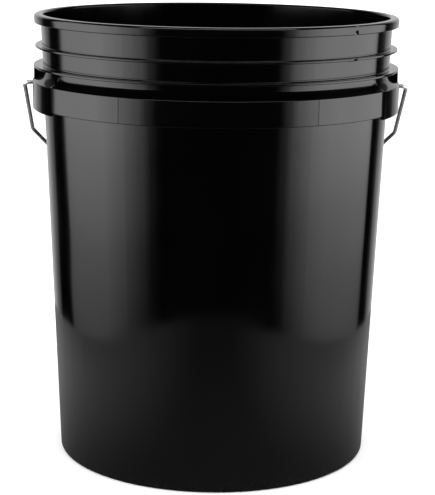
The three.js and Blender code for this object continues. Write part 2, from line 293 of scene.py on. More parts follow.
class Nodes:
    """Short calls for building one node tree."""

    def __init__(self, tree):
        self.tree = tree

    def add(self, kind, inputs=None, **settings):
        node = self.tree.nodes.new(kind)
        for key, value in settings.items():
            setattr(node, key, value)
        for key, value in (inputs or {}).items():
            if isinstance(value, bpy.types.NodeSocket):
                self.tree.links.new(value, node.inputs[key])
            else:
                node.inputs[key].default_value = value
        return node

    def object_space(self, scale=(1, 1, 1)):
        place = self.add("ShaderNodeTexCoord").outputs["Object"]
        return self.add("ShaderNodeMapping", {"Vector": place, "Scale": scale}).outputs[0]

    def noise(self, place, scale, detail=3.0, roughness=0.5):
        return self.add("ShaderNodeTexNoise", {
            "Vector": place, "Scale": scale, "Detail": detail,
            "Roughness": roughness}).outputs["Fac"]

    def ramp(self, value, low, high, out_low=0.0, out_high=1.0):
        return self.add("ShaderNodeMapRange", {
            "Value": value, "From Min": low, "From Max": high,
            "To Min": out_low, "To Max": out_high}).outputs[0]

    def spread(self, noise, out_low=0.0, out_high=1.0):
        """A noise's middle range brought to the given outputs."""
        return self.ramp(noise, NOISE_LOW, NOISE_HIGH, out_low, out_high)

    def fade(self, value, start, end):
        """0 at start and 1 at end, with soft ends."""
        return self.add("ShaderNodeMapRange", {
            "Value": value, "From Min": start, "From Max": end,
            "To Min": 0.0, "To Max": 1.0}, interpolation_type="SMOOTHSTEP").outputs[0]

    def math(self, operation, a, b):
        return self.add("ShaderNodeMath", {0: a, 1: b}, operation=operation).outputs[0]

    def blend(self, share, a, b):
        node = self.add("ShaderNodeMix", data_type="RGBA")
        for key, value in (("Factor", share), ("A", a), ("B", b)):
            socket = next(s for s in node.inputs if s.name == key and s.enabled)
            if isinstance(value, bpy.types.NodeSocket):
                self.tree.links.new(value, socket)
            else:
                socket.default_value = value
        return next(s for s in node.outputs if s.enabled)

    def bump(self, height, distance, strength=1.0, normal=None):
        inputs = {"Height": height, "Distance": distance, "Strength": strength}
        if normal is not None:
            inputs["Normal"] = normal
        return self.add("ShaderNodeBump", inputs).outputs[0]

    def surface(self, **inputs):
        named = {key.replace("_", " "): value for key, value in inputs.items()}
        shader = self.add("ShaderNodeBsdfPrincipled", named)
        self.add("ShaderNodeOutputMaterial", {"Surface": shader.outputs[0]})


def rgba(color, gain=1.0):
    """A colour with full alpha, brighter or darker by a gain."""
    return tuple(c * gain for c in color) + (1.0,)


# ------------------------------------------------------------------ materials

# Gloss of the pail's two faces, and how far out from the inner one the change lies.
INNER_GLOSS = 0.14
OUTER_GLOSS = 0.5
GLOSS_CHANGE_START = 0.1 * MM
GLOSS_CHANGE_END = 1.2 * MM

# Height up to which the foot is scuffed.
SCUFF_HEIGHT = 0.02


def pail_plastic(finishes, sizes):
    """Glossy black polyethylene: faint mould flow, a slight ripple and light scuffs."""
    material = new_material("black_pail_plastic")
    n = Nodes(material.node_tree)
    place = n.object_space()
    streaks = n.noise(n.object_space((60, 60, 2.5)), 1.0, 4.0)
    cloud = n.noise(place, 22.0, 3.0)
    fine = n.noise(place, 420.0, 4.0, 0.6)
    scratch = n.noise(n.object_space((900, 900, 35)), 1.0, 2.0)
    height = n.add("ShaderNodeSeparateXYZ", {0: place}).outputs["Z"]
    near_foot = n.ramp(height, SCUFF_HEIGHT, 0.0)
    worn = n.math("MULTIPLY", near_foot, n.ramp(fine, 0.42, 0.62))
    clean = finishes.pail_roughness
    base = n.spread(cloud, clean - 0.015, clean + 0.02)
    streaked = n.math("ADD", base, n.ramp(streaks, 0.35, 0.75, -0.012, 0.02))
    marked = n.math("ADD", streaked, n.ramp(scratch, 0.66, 0.8, 0.0, 0.06))
    roughness = n.math("ADD", marked, n.math("MULTIPLY", worn, 0.25))
    color = n.blend(n.spread(cloud), rgba(finishes.pail_color, 0.8),
                    rgba(finishes.pail_color, 1.3))
    color = n.blend(n.math("MULTIPLY", worn, 0.5), color, rgba(finishes.pail_color, 6.0))
    ripple = n.bump(n.noise(place, 9.0, 1.0), 0.0012)
    grain = n.bump(fine, 0.00001, 0.6, ripple)
    # The inside face came off the mould's core and is duller than the outside.
    outside = sizes.base_diameter / 2
    slope = (sizes.rim_diameter / 2 - BEAD_PROUD - outside) / PAIL_HIGH.z
    flat = n.add("ShaderNodeVectorMath", {0: place, 1: (1, 1, 0)}, operation="MULTIPLY")
    radius = n.add("ShaderNodeVectorMath", {0: flat.outputs[0]}, operation="LENGTH")
    depth = n.math("ADD", radius.outputs["Value"], n.math("MULTIPLY", height, -slope))
    inside_face = outside - sizes.wall
    level = n.ramp(depth, inside_face + GLOSS_CHANGE_START, inside_face + GLOSS_CHANGE_END,
                   INNER_GLOSS, OUTER_GLOSS)
    n.surface(Base_Color=color, Roughness=roughness, IOR=1.5, Normal=grain,
              Specular_IOR_Level=level)
    return material


def galvanised_wire(finishes):
    """Drawn wire under bright zinc: fine draw lines, soft mottling and dull spots."""
    material = new_material("galvanised_wire")
    n = Nodes(material.node_tree)
    place = n.object_space()
    mottle = n.noise(place, 260.0, 3.0)
    spots = n.noise(place, 900.0, 2.0)
    lines = n.noise(n.object_space((300, 2600, 300)), 1.0, 2.0)
    color = n.blend(n.spread(mottle), rgba(finishes.wire_color, 0.8),
                    rgba(finishes.wire_color, 1.2))
    color = n.blend(n.ramp(spots, 0.6, 0.72, 0.0, 0.5), color, (0.42, 0.42, 0.41, 1))
    rough = finishes.wire_roughness
    roughness = n.spread(mottle, rough - 0.08, rough + 0.12)
    grain = n.bump(lines, 0.00004, 0.5, n.bump(mottle, 0.00006, 0.5))
    n.surface(Base_Color=color, Metallic=1.0, Roughness=roughness, Normal=grain)
    return material


def grip_plastic(finishes):
    """Satin black plastic with a fine moulded grain and a mottled sheen."""
    material = new_material("black_grip_plastic")
    n = Nodes(material.node_tree)
    place = n.object_space()
    grain = n.noise(place, 1600.0, 2.0)
    cloud = n.noise(place, 120.0, 3.0)
    color = n.blend(n.spread(cloud), rgba(finishes.grip_color, 0.75),
                    rgba(finishes.grip_color, 1.6))
    roughness = n.spread(cloud, 0.3, 0.46)
    normal = n.bump(grain, 0.00006, 0.7, n.bump(cloud, 0.0001, 0.4))
    n.surface(Base_Color=color, Roughness=roughness, IOR=1.5, Normal=normal)
    return material


def pale_floor():
    """Matt pale paper."""
    material = new_material("pale_floor")
    n = Nodes(material.node_tree)
    place = n.object_space()
    fibre = n.noise(place, 700.0, 3.0)
    color = n.blend(n.spread(fibre), (0.86, 0.86, 0.86, 1), (0.9, 0.9, 0.9, 1))
    n.surface(Base_Color=color, Roughness=n.spread(fibre, 0.7, 0.85),
              Normal=n.bump(fibre, 0.0001, 0.3))
    return material


# Half width and half depth of the sheet with the table's painted reflection, and where its painted
# light brightens away from the middle.
SHEEN_RADIUS_X = 0.45
SHEEN_RADIUS_Y = 0.53
SHEEN_DARK_X = 0.06
SHEEN_BRIGHT_X = 0.38
SHEEN_LEAST = 0.035
SHEEN_RISE = 0.175

# Gain of that painted light close to the pail and at its far edge, and the reach of each.
SHEEN_NEAR = 0.14
SHEEN_FAR = 0.45
SHEEN_NEAR_GAIN = 1.9
SHEEN_FAR_GAIN = 0.8


def painted_table_reflection():
    """The table as the gloss shows it, with its light and shade painted into the colour: painted
    shade in front of the pail and away from it, painted light towards the sides and close to it.
    """
    material = new_material("painted_table_reflection")
    n = Nodes(material.node_tree)
    place = n.object_space()
    across = n.math("ABSOLUTE", n.add("ShaderNodeSeparateXYZ", {0: place}).outputs["X"], 0.0)
    reach = n.add("ShaderNodeVectorMath", {0: place}, operation="LENGTH").outputs["Value"]
    # Painted light: brighter towards the sides and close to the pail, darker in front of it and
    # far off.
    rise = n.math("MULTIPLY", n.fade(across, SHEEN_DARK_X, SHEEN_BRIGHT_X), SHEEN_RISE)
    gain = n.ramp(reach, SHEEN_NEAR, SHEEN_FAR, SHEEN_NEAR_GAIN, SHEEN_FAR_GAIN)
    level = n.math("MULTIPLY", n.math("ADD", rise, SHEEN_LEAST), gain)
    n.surface(Base_Color=n.blend(level, (0, 0, 0, 1), (1, 1, 1, 1)), Roughness=0.9)
    return material


# ------------------------------------------------------------------ the moulded pail

# Heights measured down from the rim's top.
BEAD_HEIGHT = 7.5 * MM
BEAD_GROOVE = 3.6 * MM
UPPER_RIB_DROP = 25.4 * MM
LOWER_RIB_DROP = 41.5 * MM
BAND_TOP_DROP = 54.7 * MM
BAND_BOTTOM_DROP = 74.9 * MM
WITNESS_DROP = 107 * MM

# Distances that features stand out from the wall.
BEAD_PROUD = 5.5 * MM
UPPER_RIB_PROUD = 5.5 * MM
EAR_PLATE_PROUD = 1.4 * MM
WITNESS_PROUD = 0.1 * MM
WITNESS_SPREAD = 0.6 * MM
PARTING_PROUD = 0.12 * MM

# Ears and the hollow band.
EAR_PLATE_THICKNESS = 2.8 * MM
EAR_OVERHANG = 2.4 * MM
COVE_GAP = 2.9 * MM
COVE_BEND = 0.5
COVE_STEPS = 8
HOLLOW_RISE = 3.2 * MM
SHOULDER_SKIN = 1.5 * MM
GUSSET_COUNT = 24
GUSSET_RECESS = 2.5 * MM
POCKET_SKIN = 0.3 * MM
HOLE_CLEARANCE = 0.5 * MM

# Foot.
FOOT_RING = 16 * MM
FOOT_STEP = 4 * MM
FOOT_CORNER = 2.5 * MM
INNER_CORNER = 5 * MM

# Fillets.
RECESS_FILLET = 1.5 * MM
FLOOR_FILLET = 2 * MM
HOLLOW_FILLET = 1.2 * MM
HOLLOW_EDGE = 0.5 * MM
BAND_EDGE = 0.7 * MM
BAND_SHOULDER = 0.8 * MM
PLATE_SHOULDER = 0.4 * MM
BOX_FILLET = 0.5 * MM
RIB_EDGE = 0.6 * MM
RIB_ROOT = 0.9 * MM
NECK_ROOT = 0.7 * MM
SKIRT_EDGE = 0.4 * MM
SKIRT_ROUND = 1.0 * MM
SKIRT_TAPER = 0.5 * MM
RIM_CURL = 3.4 * MM
MOUTH_ROUND = 2.2 * MM

# Half angles of the ear's parts and of small marks, in degrees about the pail's axis.
EDGE_SPREAD = 0.12
PLATE_ANGLE = 29.3
BOX_ANGLE = 5.7
POCKET_ANGLE = 4.87
GUSSET_ANGLE = 0.35
PARTING_ANGLE = 59.6
PARTING_WIDTH = 0.12
NOTCH_DIRECTION = -45.4
NOTCH_ANGLE = 0.65
NOTCH_HEIGHT = 3.0 * MM
NUB_HEIGHT = 0.5 * MM
NUB_LENGTH = 2.5 * MM

# Where columns stand across each change of section, in edge spreads from its middle, and
# the least angle between those columns and the even ones, in degrees.
EDGE_STEPS = (-1.1, -0.4, 0.4, 1.1)
COLUMN_GAP = 0.35


class PailSection:
    """The pail's half section at any direction about its axis."""

    def __init__(self, sizes):
        self.top = PAIL_HIGH.z
        self.base = sizes.base_diameter / 2
        self.rim = sizes.rim_diameter / 2
        self.neck = self.rim - BEAD_PROUD
        self.wall = sizes.wall
        self.floor = sizes.floor
        self.recess = sizes.foot_recess
        self.rib = sizes.rib_thickness
        self.lower_rib_radius = PAIL_HIGH.y
        self.plate_radius = PAIL_HIGH.x
        self.band_radius = self.plate_radius - EAR_PLATE_PROUD
        self.gussets = [(k + 0.5) * 360 / GUSSET_COUNT for k in range(GUSSET_COUNT)]

    def outer(self, z):
        """Outside radius of the tapered wall at a height."""
        return mix(self.base, self.neck, z / self.top)

    def nearest_gusset(self, direction):
        return min((wrapped(direction - g) for g in self.gussets), key=abs)

    def corners(self, direction):
        """Corners of the section at a direction, in degrees from +X."""
        outer = self.outer
        side = min(abs(wrapped(direction)), abs(wrapped(direction - 180)))
        plate = inside(side, PLATE_ANGLE)
        box = inside(side, BOX_ANGLE)
        pocket = inside(side, POCKET_ANGLE)
        gusset = inside(self.nearest_gusset(direction), GUSSET_ANGLE)
        parting = inside(side - PARTING_ANGLE, PARTING_WIDTH)
        notch = inside(wrapped(direction - NOTCH_DIRECTION), NOTCH_ANGLE)

        # Underside, foot and outside wall.
        recess_edge = self.base - FOOT_RING
        recess_step = recess_edge - FOOT_STEP
        witness = self.top - WITNESS_DROP
        section = [
            corner(recess_step, self.recess, RECESS_FILLET, 3),
            corner(recess_edge, 0, RECESS_FILLET, 3),
            corner(self.base, 0, FOOT_CORNER, 6),
            corner(outer(witness - WITNESS_SPREAD), witness - WITNESS_SPREAD),
            corner(outer(witness) + WITNESS_PROUD, witness),
            corner(outer(witness + WITNESS_SPREAD), witness + WITNESS_SPREAD),
        ]

        # Hollow behind the band, filled by a gusset and opened up by an ear's pocket.
        band_top = self.top - BAND_TOP_DROP
        band_bottom = self.top - BAND_BOTTOM_DROP
        box_radius = self.lower_rib_radius - POCKET_SKIN
        lower_rib_top = self.top - LOWER_RIB_DROP
        lower_rib_bottom = lower_rib_top - self.rib
        band_inner = self.band_radius - self.wall
        hollow_top = band_top + HOLLOW_RISE
        hollow_edge = band_top - SHOULDER_SKIN
        pocket_top = lower_rib_bottom - POCKET_SKIN
        gusset_low = band_bottom + GUSSET_RECESS
        inner_z = mix(hollow_top, gusset_low, gusset)
        outer_z = mix(hollow_edge, gusset_low, gusset)
        inner_z = mix(inner_z, pocket_top, pocket)
        outer_z = mix(outer_z, pocket_top, pocket)
        pocket_inner = outer(lower_rib_top) + POCKET_SKIN
        pocket_outer = self.plate_radius - EAR_PLATE_THICKNESS
        band_low = mix(band_bottom, band_bottom - EAR_OVERHANG, plate)
        hollow_out = mix(band_inner, pocket_outer, pocket)
        section += [
            corner(mix(outer(inner_z), pocket_inner, pocket), inner_z, HOLLOW_FILLET, 3),
            corner(hollow_out, outer_z, HOLLOW_FILLET, 3),
            corner(hollow_out, band_low, HOLLOW_EDGE, 2),
        ]

        # Band or ear plate, then the coved shoulder or the ear's box above it.
        face = mix(self.band_radius, self.plate_radius, plate) + PARTING_PROUD * parting
        rise = lower_rib_bottom - COVE_GAP - band_top
        cove_top = Vector((outer(band_top + rise), band_top + rise))
        bend = band_top + COVE_BEND * rise
        cove_bend = Vector((outer(bend), bend))
        cove_low = Vector((face, band_top))
        section += [
            corner(face, band_low, BAND_EDGE, 4),
            corner(face, band_top, mix(BAND_SHOULDER, PLATE_SHOULDER, plate), 5),
        ]
        for k in range(COVE_STEPS):
            s = 1 - (k + 1) / (COVE_STEPS + 1)
            p = (1 - s) ** 2 * cove_top + 2 * s * (1 - s) * cove_bend + s * s * cove_low
            section.append(corner(mix(p.x, box_radius, box), p.y))
        section += [
            corner(mix(cove_top.x, box_radius, box), cove_top.y),
            corner(mix(outer(lower_rib_bottom), box_radius, box), lower_rib_bottom,
                   BOX_FILLET, 3),
        ]

        # Ribs round the neck; a small nub hangs under the upper one.
        upper_rib_top = self.top - UPPER_RIB_DROP
        upper_rib_bottom = upper_rib_top - self.rib - NUB_HEIGHT * notch
        upper_rib = outer(upper_rib_top) + UPPER_RIB_PROUD
        nub_edge = upper_rib - NUB_LENGTH * notch
        section += [
            corner(self.lower_rib_radius, lower_rib_bottom, RIB_EDGE, 3),
            corner(self.lower_rib_radius, lower_rib_top, RIB_EDGE, 3),
            corner(outer(lower_rib_top), lower_rib_top, RIB_ROOT, 3),
            corner(outer(upper_rib_bottom), upper_rib_bottom, NECK_ROOT, 3),
            corner(nub_edge, upper_rib_bottom, RIB_EDGE, 3),
            corner(upper_rib, upper_rib_top, RIB_EDGE, 3),
            corner(outer(upper_rib_top), upper_rib_top, RIB_ROOT, 3),
        ]

        # Curled rim, open underneath, with one drain notch in its skirt.
        bead_bottom = self.top - BEAD_HEIGHT
        groove_top = bead_bottom + BEAD_GROOVE
        skirt_low = bead_bottom + NOTCH_HEIGHT * notch
        mouth = outer(self.top) - self.wall
        section += [
            corner(outer(groove_top), groove_top, HOLLOW_FILLET, 3),
            corner(self.rim - self.wall, groove_top, HOLLOW_FILLET, 3),
            corner(self.rim - self.wall, skirt_low, SKIRT_EDGE, 2),
            corner(self.rim - SKIRT_TAPER, skirt_low, SKIRT_ROUND, 4),
            corner(self.rim, self.top, RIM_CURL, 9),
            corner(mouth, self.top, MOUTH_ROUND, 7),
        ]

        # Inside wall, corner and floor.
        section += [
            corner(outer(0) - self.wall, self.floor, INNER_CORNER, 7),
            corner(recess_edge, self.floor, FLOOR_FILLET, 3),
            corner(recess_step, self.floor + self.recess, FLOOR_FILLET, 3),
        ]
        return section

    def points(self, direction):
        """Section points without the two poles on the axis."""
        low_pole = corner(0, self.recess)
        high_pole = corner(0, self.floor + self.recess)
        return filleted([low_pole, *self.corners(direction), high_pole])[1:-1]

    def directions(self, columns):
        """Column directions: even ones, and closer ones wherever the section changes."""
        middles = {0: (PLATE_ANGLE, BOX_ANGLE, POCKET_ANGLE)}
        middles[180] = middles[0]
        for gusset in self.gussets:
            middles[gusset] = (GUSSET_ANGLE,)
        for side in (0, 180):
            for sign in (-1, 1):
                middles[side + sign * PARTING_ANGLE] = (PARTING_WIDTH,)
        middles[NOTCH_DIRECTION] = (NOTCH_ANGLE,)
        special = set()
        for middle, halves in middles.items():
            for half in halves:
                for step in EDGE_STEPS:
                    for sign in (-1, 1):
                        angle = (middle + sign * (half + step * EDGE_SPREAD)) % 360
                        special.add(round(angle, 3))
        special = sorted(special)
        chosen = list(special)
        for k in range(columns):
            angle = k * 360 / columns
            i = bisect_left(special, angle)
            gaps = [abs(wrapped(angle - special[j % len(special)])) for j in (i - 1, i)]
            if min(gaps) > COLUMN_GAP:
                chosen.append(angle)
        return sorted(chosen)


def pail_mesh(sizes):
    """The moulded pail as one closed skin of quads with a fan at each pole."""
    section = PailSection(sizes)
    directions = section.directions(sizes.columns)
    vertices = []
    rows = 0
    for direction in directions:
        points = section.points(direction)
        rows = len(points)
        c, s = math.cos(math.radians(direction)), math.sin(math.radians(direction))
        vertices += [(p.x * c, p.x * s, p.y) for p in points]
    columns = len(directions)
    faces = stitch(rows, columns, closed_rows=False)
    under, over = len(vertices), len(vertices) + 1
    vertices += [(0, 0, section.recess), (0, 0, section.recess + section.floor)]
    for j in range(columns):
        a, b = j * rows, ((j + 1) % columns) * rows
        faces.append((under, b, a))
        faces.append((over, a + rows - 1, b + rows - 1))
    return vertices, faces


def hole_cutter(radius, x):
    """A closed round cutter along X through one ear plate."""
    sides = 40
    reach = 4 * MM
    vertices = []
    for end in (x - reach, x + reach):
        for k in range(sides):
            angle = 2 * math.pi * k / sides
            vertices.append((end, radius * math.cos(angle), PIVOT.z + radius * math.sin(angle)))
    faces = [(k, (k + 1) % sides, sides + (k + 1) % sides, sides + k) for k in range(sides)]
    faces.append(tuple(reversed(range(sides))))
    faces.append(tuple(range(sides, 2 * sides)))
    return make_object("hole_cutter", vertices, faces)


def cut_wire_holes(piece, radius):
    """Drills the ear plate on each side for the bail's wire."""
    for side in (-1, 1):
        cutter = hole_cutter(radius, side * (PAIL_HIGH.x - EAR_PLATE_THICKNESS / 2))
        cut = piece.modifiers.new("wire_hole", "BOOLEAN")
        cut.operation = "DIFFERENCE"
        cut.solver = "EXACT"
        cut.object = cutter
        apply_modifiers(piece)
        old = cutter.data
        bpy.data.objects.remove(cutter)
        bpy.data.meshes.remove(old)


class PAIL_OT_mould_body(bpy.types.Operator):
    """Builds the moulded pail with its rim, ribs, hollow band and ears"""

    bl_idname = "pail.mould_body"
    bl_label = "Moulded Pail"

    def execute(self, context):
        scene = context.scene
        vertices, faces = pail_mesh(scene.pail_sizes)
        piece = make_object("moulded_pail", vertices, faces)
        cut_wire_holes(piece, scene.bail_sizes.wire_diameter / 2 + HOLE_CLEARANCE)
        finish_mesh(piece)
        piece.data.materials.clear()
        piece.data.materials.append(pail_plastic(scene.pail_finishes, scene.pail_sizes))
        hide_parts("pail_body")
        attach(piece, "pail")
        return {"FINISHED"}


# ------------------------------------------------------------------ bail and grip

# Bends and clearances of the wire, with its heads.
LEG_STANDOFF = 7.5 * MM
TIGHT_BEND = 5 * MM
SHOULDER_BEND = 12 * MM
HEAD_PROUD = 1.5 * MM
HEAD_THICKNESS = 2.2 * MM
HEAD_EDGE = 0.5 * MM
HEAD_CLEARANCE = 1.2 * MM
GRIP_END_CLEARANCE = 2 * MM
BORE_CLEARANCE = 0.4 * MM
BEND_STEPS = 18


def rounded_run(corners, steps):
    """A run of (x, drop, radius) corners with true arcs, as 2-D points."""
    line = [Vector(c[:2]) for c in corners]
    points = [line[0]]
    for i in range(1, len(line) - 1):
        back = (line[i - 1] - line[i]).normalized()
        ahead = (line[i + 1] - line[i]).normalized()
        half = back.angle(ahead) / 2
        radius = corners[i][2]
        centre = line[i] + (back + ahead).normalized() * (radius / math.sin(half))
        run = radius / math.tan(half)
        spoke = line[i] + back * run - centre
        last = line[i] + ahead * run - centre
        sweep = math.atan2(spoke.x * last.y - spoke.y * last.x, spoke.dot(last))
        for k in range(steps + 1):
            points.append(centre + Matrix.Rotation(sweep * k / steps, 2) @ spoke)
    points.append(line[-1])
    return points


def wire_stations(sizes):
    """Centre line and thickness of the wire from head to head, in the bail's plane."""
    wire = sizes.wire_diameter / 2
    head_out = PAIL_HIGH.x - EAR_PLATE_THICKNESS - HEAD_CLEARANCE
    head_in = head_out - HEAD_THICKNESS
    leg_x = PAIL_HIGH.x + LEG_STANDOFF
    shoulder_x = leg_x - sizes.leg_inset
    bow_x = shoulder_x - (BAIL_REACH - sizes.leg_length) * math.tan(sizes.shoulder_turn)
    seat_x = (GRIP_HIGH.x - GRIP_LOW.x) / 2 + GRIP_END_CLEARANCE
    bow = (bow_x - seat_x) / math.tan(math.pi / 4 - sizes.shoulder_turn / 2)
    half = [
        (head_out, 0, 0),
        (leg_x, 0, TIGHT_BEND),
        (shoulder_x, sizes.leg_length, SHOULDER_BEND),
        (bow_x, BAIL_REACH, bow),
    ]
    corners = half + [(-x, drop, radius) for x, drop, radius in reversed(half)]
    line = [(p.x, p.y, wire) for p in rounded_run(corners, BEND_STEPS)]
    head = wire + HEAD_PROUD
    edge = HEAD_EDGE
    turn = 0.3 * edge
    cap = [
        (head_in, 0, head - edge),
        (head_in + turn, 0, head - turn),
        (head_in + edge, 0, head),
        (head_out - edge, 0, head),
        (head_out - turn, 0, head - turn),
        (head_out, 0, head - edge),
        (head_out, 0, wire + turn),
        (head_out + edge, 0, wire),
    ]
    other_cap = [(-x, drop, r) for x, drop, r in reversed(cap)]
    return cap + line[1:-1] + other_cap


def hung(x, across, drop):
    """A point of the bail's plane, and its distance across it, in the pail's frame."""
    c, s = math.cos(HANG_ANGLE), math.sin(HANG_ANGLE)
    return Vector((x, PIVOT.y + drop * s + across * c, PIVOT.z - drop * c + across * s))


def wire_mesh(sizes):
    """A round wire swept along its stations, closed at both heads."""
    stations = wire_stations(sizes)
    sides = 24
    last = len(stations) - 1
    vertices = []
    for i, (x, drop, radius) in enumerate(stations):
        before = Vector(stations[max(i - 1, 0)][:2])
        after = Vector(stations[min(i + 1, last)][:2])
        along = (after - before).normalized()
        out = Vector((-along.y, along.x))
        for k in range(sides):
            angle = 2 * math.pi * k / sides
            in_plane = radius * math.cos(angle)
            across = radius * math.sin(angle)
            vertices.append(hung(x + out.x * in_plane, across, drop + out.y * in_plane))
    faces = stitch(sides, len(stations), closed_rows=True)
    faces = faces[: sides * last]
    first_end, last_end = len(vertices), len(vertices) + 1
    vertices += [hung(stations[0][0], 0, 0), hung(stations[-1][0], 0, 0)]
    for k in range(sides):
        m = (k + 1) % sides
        faces.append((first_end, k, m))
        faces.append((last_end, last * sides + m, last * sides + k))
    return vertices, faces


class PAIL_OT_bend_wire(bpy.types.Operator):
    """Builds the galvanised wire bail with its headed ends"""

    bl_idname = "pail.bend_wire"
    bl_label = "Wire Bail"

    def execute(self, context):
        scene = context.scene
        vertices, faces = wire_mesh(scene.bail_sizes)
        piece = make_object("wire_bail", vertices, faces)
        finish_mesh(piece)
        piece.data.materials.append(galvanised_wire(scene.pail_finishes))
        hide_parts("bail_wire")
        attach(piece, "bail")
        return {"FINISHED"}


# Shape of the roller grip between its two ends.
GRIP_COLLAR = 6 * MM
GRIP_NECK = 2.2 * MM
GRIP_NECK_DEPTH = 1.3 * MM
GRIP_WAIST = 0.7 * MM
GRIP_END_ROUND = 2.0 * MM
GRIP_COLLAR_EDGE = 0.8 * MM
GRIP_NECK_FILLET = 0.5 * MM
GRIP_MOUTH = 0.8 * MM
GRIP_MOUTH_EDGE = 0.6 * MM
FLUTE_DEPTH = 0.6 * MM
FLUTE_RUN_OUT = 7 * MM
FLUTE_END_GAP = 1.5 * MM
FLUTE_WIDTH = 1.25
GRIP_SIDES = 14 * 8


def grip_outline(half, radius, bore):
    """Section of the grip from one bore mouth over the outside to the other, and back."""
    collar = radius - GRIP_WAIST
    neck_low = half - GRIP_COLLAR
    neck_high = neck_low - GRIP_NECK
    side = [
        corner(half, bore + GRIP_MOUTH, GRIP_MOUTH_EDGE, 3),
        corner(half, collar, GRIP_END_ROUND, 7),
        corner(neck_low, collar, GRIP_COLLAR_EDGE, 4),
        corner(neck_low, collar - GRIP_NECK_DEPTH, GRIP_NECK_FILLET, 3),
        corner(neck_high, collar - GRIP_NECK_DEPTH, GRIP_NECK_FILLET, 3),
        corner(neck_high, collar - 0.2 * MM, GRIP_COLLAR_EDGE, 4),
    ]
    belly = [corner(neck_high * k / 8, radius - GRIP_WAIST * (k / 8) ** 2 * 0.9)
             for k in range(6, -7, -1)]
    far_side = [corner(-c[0], *c[1:]) for c in reversed(side)]
    mouth = half - GRIP_MOUTH_EDGE
    outside = filleted([corner(0.9 * half, bore), corner(mouth, bore), *side,
                        *belly, *far_side, corner(-mouth, bore),
                        corner(-0.9 * half, bore)])
    return outside + [Vector((half * k / 4, bore)) for k in range(-3, 4)]


def grip_mesh(sizes):
    """A barrelled roller with an end collar at each side, long flutes and an open bore."""
    half = (GRIP_HIGH.x - GRIP_LOW.x) / 2
    radius = GRIP_HIGH.y - GRIP_CENTRE.y
    bore = sizes.wire_diameter / 2 + BORE_CLEARANCE
    outline = grip_outline(half, radius, bore)
    flute_end = half - GRIP_COLLAR - GRIP_NECK - FLUTE_END_GAP
    vertices = []
    for k in range(GRIP_SIDES):
        angle = 2 * math.pi * k / GRIP_SIDES
        groove = smooth(FLUTE_WIDTH * abs(math.sin(angle * sizes.grip_flutes / 2)))
        for p in outline:
            fade = smooth((flute_end - abs(p.x)) / FLUTE_RUN_OUT)
            depth = FLUTE_DEPTH * fade * (1 - groove) if p.y > 2 * bore else 0
            r = p.y - depth
            vertices.append((p.x, GRIP_CENTRE.y + r * math.cos(angle),
                             GRIP_CENTRE.z + r * math.sin(angle)))
    return vertices, stitch(len(outline), GRIP_SIDES, closed_rows=True)


class PAIL_OT_turn_grip(bpy.types.Operator):
    """Builds the fluted roller grip that turns on the wire"""

    bl_idname = "pail.turn_grip"
    bl_label = "Roller Grip"

    def execute(self, context):
        scene = context.scene
        vertices, faces = grip_mesh(scene.bail_sizes)
        piece = make_object("roller_grip", vertices, faces)
        finish_mesh(piece, sharp_degrees=50)
        piece.data.materials.append(grip_plastic(scene.pail_finishes))
        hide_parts("bail_grip")
        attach(piece, "grip")
        return {"FINISHED"}


# ------------------------------------------------------------------ studio

# Softboxes: upright sheets to the left and right. Along Y, each begins at its front edge,
# has faded in at the second place and ends at its rear edge.
SOFTBOX_X = 1.0
SOFTBOX_LOW = -0.6
SOFTBOX_HIGH = 1.0
LEFT_FRONT, LEFT_BRIGHT, LEFT_REAR = -1.4, -0.2, 0.49
RIGHT_FRONT, RIGHT_BRIGHT, RIGHT_REAR = -1.35, -0.35, 0.63

# How the cloth dims: over a narrow hem and towards its rear edge, and towards its foot.
HEM_WIDTH = 0.09
REAR_LEVEL = 0.38
REAR_DIMMING_END = -0.25
FOOT_START, FOOT_END = -0.45, 0.12
FOOT_LEVEL, TOP_LEVEL = 0.22, 0.9
FOOT_POWER = 2.6

# Strip light over the pail.
STRIP_LENGTH = 1.7
STRIP_WIDTH = 0.25
STRIP_PLACE = Vector((0, -0.5, 1.4))
STRIP_AIM = Vector((0, 0, 0.35))

# Brightness of the white all round, and of the white patch behind the pail that the gloss
# shows. The patch begins and is full where a direction's +Y part has these values.
SURROUND_STRENGTH = 1.8
BEHIND_STRENGTH = 0.72
BEHIND_START, BEHIND_FULL = 0.7, 0.94

# Round sheets under the pail.
FLOOR_RADIUS = 3.0
FLOOR_SIDES = 128
FLOOR_DROP = 0.2 * MM
SHEEN_LIFT = 0.1 * MM


def softbox_cloth(name, radiance, front, bright, rear):
    """Glowing cloth that dims towards its front edge, its rear edge and the floor."""
    material = new_material(name)
    n = Nodes(material.node_tree)
    place = n.add("ShaderNodeTexCoord").outputs["Object"]
    split = n.add("ShaderNodeSeparateXYZ", {0: place})
    along, height = split.outputs["Y"], split.outputs["Z"]
    strength = n.math("MULTIPLY", n.fade(along, front, bright),
                      n.fade(along, rear, rear - HEM_WIDTH))
    dimming = n.ramp(along, rear, REAR_DIMMING_END, REAR_LEVEL, 1.0)
    foot = n.ramp(height, FOOT_START, FOOT_END, FOOT_LEVEL, TOP_LEVEL)
    for factor in (dimming, n.math("POWER", foot, FOOT_POWER), radiance):
        strength = n.math("MULTIPLY", strength, factor)
    glow = n.add("ShaderNodeEmission", {"Strength": strength})
    back = n.add("ShaderNodeBsdfTransparent")
    facing = n.add("ShaderNodeNewGeometry").outputs["Backfacing"]
    mixed = n.add("ShaderNodeMixShader", {0: facing, 1: glow.outputs[0], 2: back.outputs[0]})
    n.add("ShaderNodeOutputMaterial", {"Surface": mixed.outputs[0]})
    return material


